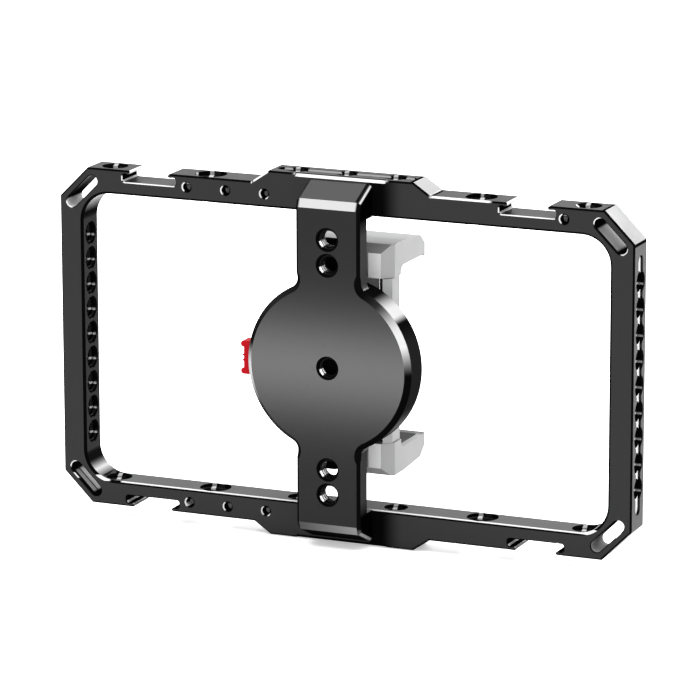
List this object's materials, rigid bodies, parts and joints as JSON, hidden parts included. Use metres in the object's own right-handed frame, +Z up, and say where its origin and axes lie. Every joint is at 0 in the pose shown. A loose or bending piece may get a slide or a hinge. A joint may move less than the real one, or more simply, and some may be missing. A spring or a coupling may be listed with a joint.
{
  "type": "phone cage",
  "caption": "Metal cage for filming with a phone, with a sprung clamp that swivels in a quick-release disc, rows of accessory threads, cold shoes and strap slots.",
  "frame": {"origin": "middle of the lower hump's base face, half way through the rails' depth", "axes": "+X along the cage towards the side away from the release button, +Y from the disc towards the phone, +Z up"},
  "size_m": [0.1904, 0.0416, 0.1153],
  "materials": {
    "frame_black": "matt black anodised, bevels catch the light",
    "bridge_black": "matt black anodised",
    "black_screw": "black oxide",
    "cover_dark": "dark anodised",
    "washer_white": "slippery plastic",
    "button_red": "red anodised, satin",
    "latch_steel": "ground",
    "spring_steel": "bright wire",
    "swivel_alu": "turned",
    "clamp_silver": "pale satin anodised",
    "rod_chrome": "polished",
    "pad_rubber": "fine ribbed rubber"
  },
  "bodies": {
    "cage": {"cage_frame": "frame_black", "bridge": "bridge_black", "bridge_screws": "black_screw", "socket_cover": "cover_dark", "cover_screws": "black_screw", "swivel_washer": "washer_white", "latch_springs": "spring_steel"},
    "release": {"release_button": "button_red", "latch_ring": "latch_steel", "latch_pins": "latch_steel"},
    "swivel": {"swivel_base": "swivel_alu", "clamp_housing": "clamp_silver", "housing_screws": "black_screw", "back_pad": "pad_rubber", "upper_springs": "spring_steel", "lower_springs": "spring_steel"},
    "upper_grip": {"upper_jaw": "clamp_silver", "upper_rods": "rod_chrome", "upper_clips": "latch_steel", "upper_pad": "pad_rubber"},
    "lower_grip": {"lower_jaw": "clamp_silver", "lower_rods": "rod_chrome", "lower_clips": "latch_steel", "lower_pad": "pad_rubber"}
  },
  "joints": [
    {"name": "release_push", "type": "slide", "parent": "cage", "child": "release", "axis": [1, 0, 0], "range_m": [0, 0.0019], "stiffness_N_per_m": 400, "springref_m": -0.004, "deforming": ["latch_springs"]},
    {"name": "clamp_swivel", "type": "hinge", "parent": "cage", "child": "swivel", "pos_m": [0, -0.0055, 0.05765], "axis": [0, 1, 0], "continuous": true},
    {"name": "upper_grip_slide", "type": "slide", "parent": "swivel", "child": "upper_grip", "axis": [0, 0, 1], "range_m": [0, 0.0093], "stiffness_N_per_m": 400, "springref_m": -0.02, "deforming": ["upper_springs"]},
    {"name": "lower_grip_slide", "type": "slide", "parent": "swivel", "child": "lower_grip", "axis": [0, 0, -1], "range_m": [0, 0.0093], "stiffness_N_per_m": 400, "springref_m": -0.02, "deforming": ["lower_springs"]}
  ]
}
